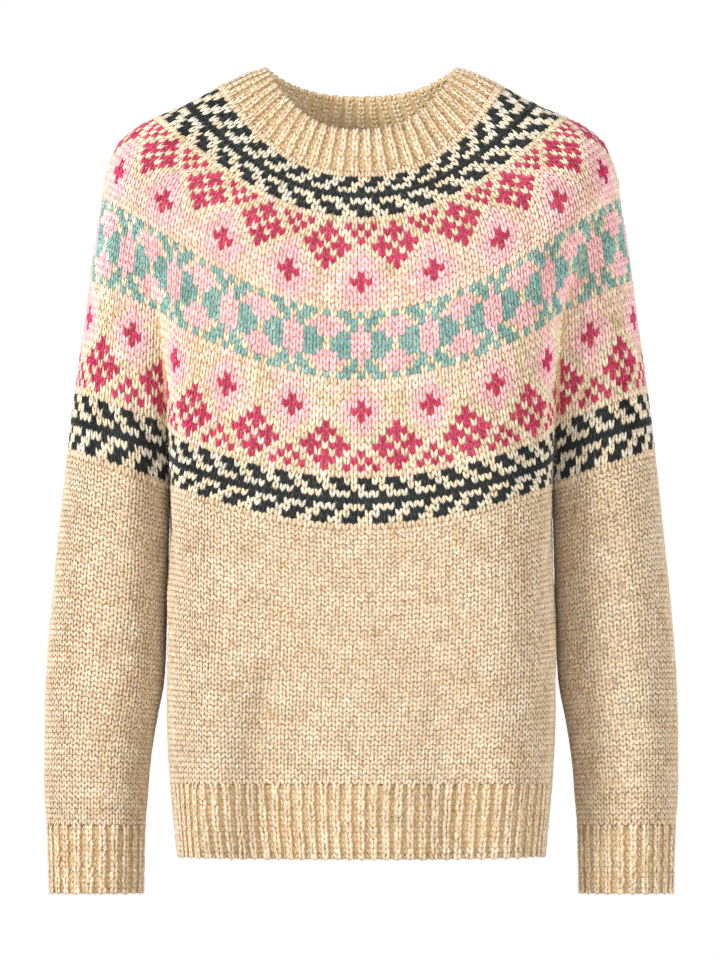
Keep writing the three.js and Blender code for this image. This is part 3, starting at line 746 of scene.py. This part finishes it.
def sleeve_patch(side):
    heights = [height_below(CUFF_TOP_Z, share) for share in np.linspace(0, 1, SLEEVE_LINES)]
    creases = CREASES["sleeve"] if side > 0 else mirrored_creases(CREASES["sleeve"])
    return Patch(sleeve_lines(heights, SLEEVE_STEPS, side), True, creases)


def mirrored_creases(creases):
    """The creases of the other sleeve."""
    mirrored = []
    for across_0, down_0, across_1, down_1, half_width, depth in creases:
        down_0 = min(down_0 + MIRRORED_LOWER_0, 1)
        down_1 = min(down_1 + MIRRORED_LOWER_1, 1)
        depth = depth * MIRRORED_DEPTH
        mirrored.append((1 - across_0, down_0, 1 - across_1, down_1, half_width, depth))
    return tuple(mirrored)


def cuff_patch(side):
    def level(z):
        return lambda x: np.full_like(x, z)

    heights = [level(z) for z in np.linspace(CUFF_TOP_Z, CUFF_BOTTOM_Z, CUFF_LINES)]
    return Patch(sleeve_lines(heights, SLEEVE_STEPS, side), True)


def mesh_object(name, points, faces, materials, face_material=None, uvs=(), tone=None, bake=None):
    """A smooth mesh from points in millimetres and faces of one number of sides.

    uvs are given for each point, and bake, the map that colours are baked through, for each corner.
    """
    mesh = bpy.data.meshes.new(name)
    sides = faces.shape[1]
    mesh.vertices.add(len(points))
    mesh.vertices.foreach_set("co", (points * MM).ravel())
    mesh.loops.add(faces.size)
    mesh.loops.foreach_set("vertex_index", faces.ravel().astype(np.int32))
    mesh.polygons.add(len(faces))
    mesh.polygons.foreach_set("loop_start", np.arange(0, faces.size, sides, dtype=np.int32))
    mesh.polygons.foreach_set("use_smooth", np.ones(len(faces), bool))
    for material in materials:
        mesh.materials.append(material)
    if face_material is not None:
        mesh.polygons.foreach_set("material_index", face_material.astype(np.int32))
    mesh.update(calc_edges=True)
    for uv_name, uv in uvs:
        layer = mesh.uv_layers.new(name=uv_name)
        layer.data.foreach_set("uv", uv[faces.ravel()].ravel())
    if bake is not None:
        mesh.uv_layers.new(name="OFBake").data.foreach_set("uv", bake.ravel())
    if tone is not None:
        attribute = mesh.attributes.new("tone", "FLOAT", "POINT")
        attribute.data.foreach_set("value", tone)
    obj = bpy.data.objects.new(name, mesh)
    bpy.context.scene.collection.objects.link(obj)
    return obj


def leg_faces(rings):
    """Triangles of one closed leg: a foot, rings of left, crown and right points, and a tip."""
    tip = 1 + 3 * rings
    faces = [(0, 2, 1), (0, 3, 2), (0, 1, 3)]
    for k in range(rings - 1):
        left, crown, right = 1 + 3 * k, 2 + 3 * k, 3 + 3 * k
        for a, b in ((left, crown), (crown, right), (right, left)):
            faces += [(a, b, b + 3), (a, b + 3, a + 3)]
    last = tip - 3
    faces += [(tip, last, last + 1), (tip, last + 1, last + 2), (tip, last + 2, last)]
    return np.array(faces)


def leg_map(one, rings, first, count, grid):
    """A flat map of legs rolled out, for the corners of their faces.

    Each leg has a cell of its own in a square of grid by grid cells. first is the number of the
    first leg's cell.
    """
    rung = np.linspace(0, 1, rings + 2)
    across = np.concatenate([[np.nan], np.tile([0, 1, 2], rings), [np.nan]]) / 3
    along = np.concatenate([[0], np.repeat(rung[1:-1], 3), [1]])
    u, v = across[one], along[one]
    is_under = (u == 0).any(axis=1) & (u == 2 / 3).any(axis=1)
    u = np.where((u == 0) & is_under[:, None], 1, u)
    u = np.where(np.isnan(u), np.nanmean(u, axis=1, keepdims=True), u)
    number = first + np.arange(count)
    corner = np.stack([number % grid, number // grid], axis=1)[:, None, None]
    inner = BAKE_MARGIN + np.stack([u, v], axis=-1) * (1 - 2 * BAKE_MARGIN)
    return ((corner + inner[None]) / grid).reshape(-1, 2)


def legs(patch, foot, tip, side, bow, lift, base, shape, inside=False):
    """Points of many legs on a surface.

    foot, tip, side and bow are shares down and across, one row for each leg. base is the height
    of a leg's edges over the surface, and lift is how far its crown stands over them.
    """
    table = [(0.0, 0.0, LEG_FOOT_HEIGHT)]
    for t, width, height in shape:
        table += [(t, -width, 0.0), (t, 0.0, height), (t, width, 0.0)]
    table.append((1.0, 0.0, LEG_TIP_HEIGHT))
    t, s, h = (np.array(column)[None, :, None] for column in zip(*table))
    place = foot[:, None] + (tip - foot)[:, None] * t + side[:, None] * s
    place = place + bow[:, None] * 4 * t * (1 - t)
    points, out = patch.at(place[..., 0], place[..., 1])
    height = base[:, None, None] + lift[:, None, None] * h
    if inside:
        height = -height
    points = points + out * height
    uv = np.stack([0.5 + s[0, :, 0] / 2, t[0, :, 0]], axis=1)
    return points, np.tile(uv, (len(points), 1))


def legs_object(name, parts, yarn_names):
    """Joins legs into one mesh. parts holds points, uvs, yarn of each leg and whether inside."""
    points, faces, uvs, face_yarns, tones, bakes = [], [], [], [], [], []
    first = 0
    legs_before = 0
    grid = math.ceil(math.sqrt(sum(len(part[0]) for part in parts)))
    for leg_points, uv, yarns, inside in parts:
        count, size = leg_points.shape[:2]
        rings = (size - 2) // 3
        one = leg_faces(rings)
        if inside:
            one = one[:, ::-1]
        bakes.append(leg_map(one, rings, legs_before, count, grid))
        legs_before += count
        faces.append((one[None] + first + size * np.arange(count)[:, None, None]).reshape(-1, 3))
        points.append(leg_points.reshape(-1, 3))
        uvs.append(uv)
        face_yarns.append(np.repeat(yarns, len(one)))
        tones.append(np.repeat(1 + RNG.normal(0, TONE_SPREAD, count), size))
        first += count * size
    return mesh_object(
        name, np.concatenate(points), np.concatenate(faces),
        [YARNS[yarn] for yarn in yarn_names], np.concatenate(face_yarns),
        (("ply", np.concatenate(uvs)),), np.concatenate(tones), np.concatenate(bakes),
    )


def v_legs(patch, down, across, row, stitch, shape, v, inside=False):
    """The two legs of each V at its middle. row and stitch are the shares that one takes."""
    foot, tip, bow, width, base, lift = v
    both = []
    for turn in (-1, 1):
        count = len(down)
        jitter = RNG.normal(0, LEG_JITTER, (count, 4))
        middle = np.stack([down, across], axis=1)
        scale = np.stack(np.broadcast_arrays(row, stitch * turn), axis=-1) * np.ones((count, 2))
        feet = middle + scale * (np.array([foot[1], foot[0]]) + jitter[:, :2])
        tips = middle + scale * (np.array([tip[1], tip[0]]) + jitter[:, 2:])
        side = np.zeros((count, 2))
        side[:, 1] = stitch * width * (1 + RNG.normal(0, WIDTH_SPREAD, count))
        out = np.zeros((count, 2))
        out[:, 1] = stitch * bow * turn
        height = lift * (1 + RNG.normal(0, HEIGHT_SPREAD, count))
        points, uv = legs(patch, feet, tips, side, out, height, np.full(count, base), shape, inside)
        both.append((points, uv))
    return both


def purl_legs(patch, down, across, row, stitch):
    """One short slanted bump across each purl stitch."""
    count = len(down)
    slant = row * PURL_SLANT * RNG.choice((-1, 1), count)
    feet = np.stack([down - slant, across - stitch * PURL_REACH], axis=1)
    tips = np.stack([down + slant, across + stitch * PURL_REACH], axis=1)
    side = np.zeros((count, 2))
    side[:, 0] = row * PURL_HALF_WIDTH
    height = PURL_LIFT * (1 + RNG.normal(0, PURL_SPREAD, count))
    base = np.full(count, PURL_BASE)
    return legs(patch, feet, tips, side, np.zeros((count, 2)), height, base, PLAIN_LEG)


def ground_yarns(count, choices, yarn_names):
    """A random yarn for each stitch of the ground."""
    numbers = np.array([yarn_names.index(name) for name in choices])
    return numbers[RNG.integers(0, len(numbers), count)]


def yoke_stitches(name, first_row, last_row):
    """The patterned stitches between two rows of the yoke."""
    yarn_names = list(YARNS)
    parts = []
    for band_row, stitches, chart in YOKE_BANDS:
        for k, line in enumerate(chart):
            row = band_row + k
            if not first_row <= row < last_row:
                continue
            columns = np.arange(stitches)
            letters = np.array(list(line))[columns % len(line)]
            is_vine = "K" in "".join(chart)
            choices = VINE_GROUND_YARNS if is_vine else GROUND_YARNS
            yarns = ground_yarns(stitches, choices, yarn_names)
            for letter, yarn in CHART_YARNS.items():
                yarns[letters == letter] = yarn_names.index(yarn)
            down = np.full(stitches, (row + 0.5) / YOKE_ROWS)
            across = columns / stitches
            both = v_legs(YOKE, down, across, 1 / YOKE_ROWS, 1 / stitches, FINE_LEG, FINE_V)
            parts += [(points, uv, yarns, False) for points, uv in both]
    return legs_object(name, parts, yarn_names)


def plain_stitches(name, patch):
    """Plain stocking stitch all over a surface."""
    length, width = patch.size()
    rows = round(length / PLAIN_STITCH[1])
    stitches = round(width / PLAIN_STITCH[0])
    row, column = np.meshgrid(np.arange(rows), np.arange(stitches), indexing="ij")
    down = (row.ravel() + 0.5) / rows
    across = (column.ravel() + 0.5) / stitches
    both = v_legs(patch, down, across, 1 / rows, 1 / stitches, PLAIN_LEG, PLAIN_V)
    yarns = np.zeros(len(down), int)
    return legs_object(name, [(points, uv, yarns, False) for points, uv in both], ["oatmeal"])


def rib_stitches(name, patch, ribs, both_faces=False):
    """Columns of knit stitches on the ribs, and purl bumps in the dips between them."""
    rows = round(patch.size()[0] / RIB_ROW)
    row, column = np.meshgrid(np.arange(rows), np.arange(ribs), indexing="ij")
    down = (row.ravel() + 0.5) / rows
    knit = (column.ravel() + 0.5) / ribs
    dip = column.ravel() / ribs
    both = v_legs(patch, down, knit, 1 / rows, 1 / ribs, FINE_LEG, RIB_V)
    bumps = purl_legs(patch, down, dip, 1 / rows, 1 / ribs)
    yarns = np.zeros(len(down), int)
    parts = [(points, uv, yarns, False) for points, uv in [*both, bumps]]
    if both_faces:
        within = v_legs(patch, down, dip, 1 / rows, 1 / ribs, FINE_LEG, INNER_RIB_V, inside=True)
        # The inside rib columns take the inner yarn, a copy of oatmeal with painted light
        parts += [(points, uv, yarns + 1, True) for points, uv in within]
    return legs_object(name, parts, ["oatmeal", "inner"] if both_faces else ["oatmeal"])


def wall_object(
    name, patch, rows, columns, surface_at, open_top, open_bottom, materials, special_rows=()
):
    """A closed thin wall on a surface. Its cut edges are a little thinner than the rest.

    materials are for the outside, for the inside and edges, and for special rows of the outside.
    """
    down = np.linspace(0, 1, rows + 1)
    across = np.linspace(0, 1, columns + 1)
    grid_down, grid_across = np.meshgrid(down, across, indexing="ij")
    points, out = patch.at(grid_down, grid_across)
    if patch.closed:
        points, out = points[:, :-1], out[:, :-1]
        grid_across = grid_across[:, :-1]
    thin = np.zeros_like(down)
    thin[0] = EDGE_SINK * open_top
    thin[-1] = EDGE_SINK * open_bottom
    thin = thin[:, None, None]
    outer = points + out * (surface_at(grid_across)[..., None] - SINK - thin)
    inner = points - out * (KNIT_WALL - thin)
    count = points.shape[1]
    size = (rows + 1) * count
    spans = count if patch.closed else count - 1
    r, c = np.meshgrid(np.arange(rows), np.arange(spans), indexing="ij")
    r, c = r.ravel(), c.ravel()
    outer_rows = r
    after = (c + 1) % count

    def at(row, column):
        return row * count + column

    outside = np.stack([at(r, c), at(r + 1, c), at(r + 1, after), at(r, after)], axis=1)
    inside = size + outside[:, ::-1]
    c = np.arange(spans)
    after = (c + 1) % count
    top = np.stack([at(0, c), at(0, after), size + at(0, after), size + at(0, c)], axis=1)
    low = np.stack(
        [size + at(rows, c), size + at(rows, after), at(rows, after), at(rows, c)], axis=1
    )
    faces = [outside, inside, top, low]
    if not patch.closed:
        r = np.arange(rows)
        left = np.stack([at(r, 0), size + at(r, 0), size + at(r + 1, 0), at(r + 1, 0)], axis=1)
        right = np.stack(
            [at(r, spans), at(r + 1, spans), size + at(r + 1, spans), size + at(r, spans)], axis=1
        )
        faces += [left, right]
    faces = np.concatenate(faces)
    side = np.ones(len(faces), int)
    side[: len(outside)] = np.where(np.isin(outer_rows, special_rows), 2, 0)
    uv = np.stack([grid_across.ravel(), np.repeat(down, count)], axis=1)
    length, width = patch.size()
    uv = uv * (width / PLAIN_STITCH[0], length / PLAIN_STITCH[1])
    all_points = np.concatenate([outer.reshape(-1, 3), inner.reshape(-1, 3)])
    return mesh_object(
        name, all_points, faces, materials, side, (("knit", np.concatenate([uv, uv])),)
    )


def plain_surface(across):
    """How far out a plain surface lies."""
    return np.zeros_like(across)


def rib_surface(ribs):
    """How far out the ribbed surface lies, for each share across."""
    return lambda across: -RIB_HEIGHT * np.abs(2 * ((across * ribs) % 1) - 1) ** RIB_POWER


def add_part(node, wall, stitches):
    """One knitted piece: its wall, which stands for a solid, and the stitches on it."""
    for obj in (wall, *stitches):
        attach(obj, "root")
    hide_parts(node)


# The neckband and the yoke
neck_wall = wall_object(
    "neckband_wall", NECK, NECK_WALL_ROWS, NECK_RIBS * RIB_WALL_STEPS, rib_surface(NECK_RIBS),
    1, 0, (GAP, NECK_INSIDE),
)
neck_stitches = rib_stitches("neckband_stitches", NECK, NECK_RIBS, both_faces=True)
add_part("neckband", neck_wall, [neck_stitches])
vine_rows = [
    row + k for row, _, chart in YOKE_BANDS for k in range(len(chart)) if "K" in "".join(chart)
]
yoke_wall = wall_object(
    "yoke_wall", YOKE, YOKE_ROWS, YOKE_WALL_COLUMNS, plain_surface,
    0, 0, (GAP, FLOATS, VINE_GAP), vine_rows,
)
upper_stitches = yoke_stitches("yoke_stitches_upper", 0, YOKE_SPLIT_ROW)
lower_stitches = yoke_stitches("yoke_stitches_lower", YOKE_SPLIT_ROW, YOKE_ROWS)
add_part(
    "yoke", yoke_wall, [upper_stitches, lower_stitches],
)


def add_knit(node, patch, spans):
    """A piece of plain knitting."""
    wall = wall_object(node + "_wall", patch, *spans, plain_surface, 0, 0, (GAP, PURL))
    add_part(node, wall, [plain_stitches(node + "_stitches", patch)])


def add_rib(node, patch, ribs):
    """A ribbed band with a free lower edge."""
    wall = wall_object(
        node + "_wall", patch, RIB_WALL_ROWS, ribs * RIB_WALL_STEPS, rib_surface(ribs),
        0, 1, (GAP, PURL),
    )
    add_part(node, wall, [rib_stitches(node + "_stitches", patch, ribs)])


for side in ("front", "back"):
    hem_node = "hem_rib_" + side
    add_knit(side, body_patch(side), PANEL_WALL)
    add_rib(hem_node, hem_patch(side), HEM_RIBS)
for side, sign in (("left", 1), ("right", -1)):
    add_knit("sleeve_" + side, sleeve_patch(sign), SLEEVE_WALL)
    add_rib("cuff_" + side, cuff_patch(sign), CUFF_RIBS)


def look_at(obj, place, target):
    """Puts a camera or light at a place and turns it to a target."""
    obj.location = place
    obj.rotation_mode = "QUATERNION"
    direction = mathutils.Vector(target) - mathutils.Vector(place)
    obj.rotation_quaternion = direction.to_track_quat("-Z", "Y")


def add_camera():
    """A long lens straight in front, as in the photo."""
    camera = bpy.data.objects.new("camera", bpy.data.cameras.new("camera"))
    bpy.context.scene.collection.objects.link(camera)
    camera.data.sensor_width = SENSOR
    camera.data.lens = SENSOR * CAMERA_DISTANCE / VIEW_HEIGHT
    camera.data.clip_end = CAMERA_DISTANCE * 3
    x, y, z = LOOK_AT
    look_at(camera, (x, y - CAMERA_DISTANCE, z), LOOK_AT)
    bpy.context.scene.camera = camera


def add_light(name, place, size, power):
    """A soft square light that faces the jumper."""
    light = bpy.data.objects.new(name, bpy.data.lights.new(name, "AREA"))
    bpy.context.scene.collection.objects.link(light)
    light.data.size = size
    light.data.energy = power
    look_at(light, place, LOOK_AT)


def add_studio():
    """A pale round floor, a world that is white up to eye level, and soft lights."""
    turns = np.linspace(0, TAU, FLOOR_CORNERS, endpoint=False)
    rim = np.stack([np.cos(turns), np.sin(turns)], axis=1) * FLOOR_RADIUS / MM
    points = np.concatenate([rim, np.full((FLOOR_CORNERS, 1), FLOOR_Z / MM)], axis=1)
    shader = Shader("pale_floor", linear(FLOOR_COLOURS[1]), FLOOR_ROUGHNESS, 0.0)
    colour = shader.ramp(shader.noise(*FLOOR_NOISE), FLOOR_COLOURS[::2])
    paint = shader.finish(colour, shader.bump(shader.noise(*FLOOR_GRAIN), *FLOOR_BUMP))
    mesh_object("floor", points, np.arange(FLOOR_CORNERS)[None], [paint])
    world = bpy.data.worlds.new("studio")
    bpy.context.scene.world = world
    world.use_nodes = True
    nodes, links = world.node_tree.nodes, world.node_tree.links
    direction = nodes.new("ShaderNodeTexCoord").outputs["Generated"]
    split = nodes.new("ShaderNodeSeparateXYZ")
    links.new(direction, split.inputs[0])
    height = split.outputs["Z"]
    glow = nodes.new("ShaderNodeMapRange")
    glow.inputs["From Min"].default_value = SKY_FROM
    glow.inputs["From Max"].default_value = SKY_TO
    glow.inputs["To Min"].default_value = 1.0
    glow.inputs["To Max"].default_value = SKY_STRENGTH
    links.new(height, glow.inputs["Value"])
    links.new(glow.outputs[0], nodes["Background"].inputs["Strength"])
    tint = nodes.new("ShaderNodeValToRGB")
    tint.color_ramp.elements[0].position = SKY_FROM
    tint.color_ramp.elements[0].color = (1, 1, 1, 1)
    tint.color_ramp.elements[1].position = SKY_TO
    tint.color_ramp.elements[1].color = linear(SKY_COLOUR)
    links.new(height, tint.inputs["Fac"])
    links.new(tint.outputs["Color"], nodes["Background"].inputs["Color"])
    for light in LIGHTS:
        add_light(*light)


add_camera()
add_studio()
bpy.context.scene.view_settings.view_transform = "Standard"
